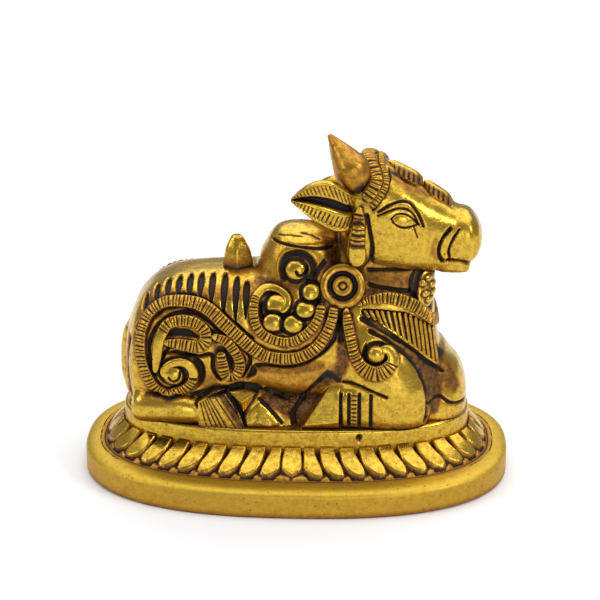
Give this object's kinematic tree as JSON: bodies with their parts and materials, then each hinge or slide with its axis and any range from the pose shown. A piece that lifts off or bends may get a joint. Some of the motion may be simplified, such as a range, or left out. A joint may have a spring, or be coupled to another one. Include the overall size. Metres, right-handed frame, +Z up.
{
  "type": "nandi bull figure",
  "caption": "Seated bull with carved garlands, headbands and collar on an oval lotus base, cast in one piece of brass with a dark antique finish in the recesses.",
  "frame": {"origin": "middle of the flat underside of the base", "axes": "+X the way the bull faces, +Y across to its far side, +Z up"},
  "size_m": [0.1018, 0.0636, 0.0836],
  "materials": {
    "brass": "polished on the high places, with orange brown to near black antique patina in the recesses"
  },
  "bodies": {
    "root": {"nandi_figure": "brass"}
  },
  "joints": []
}
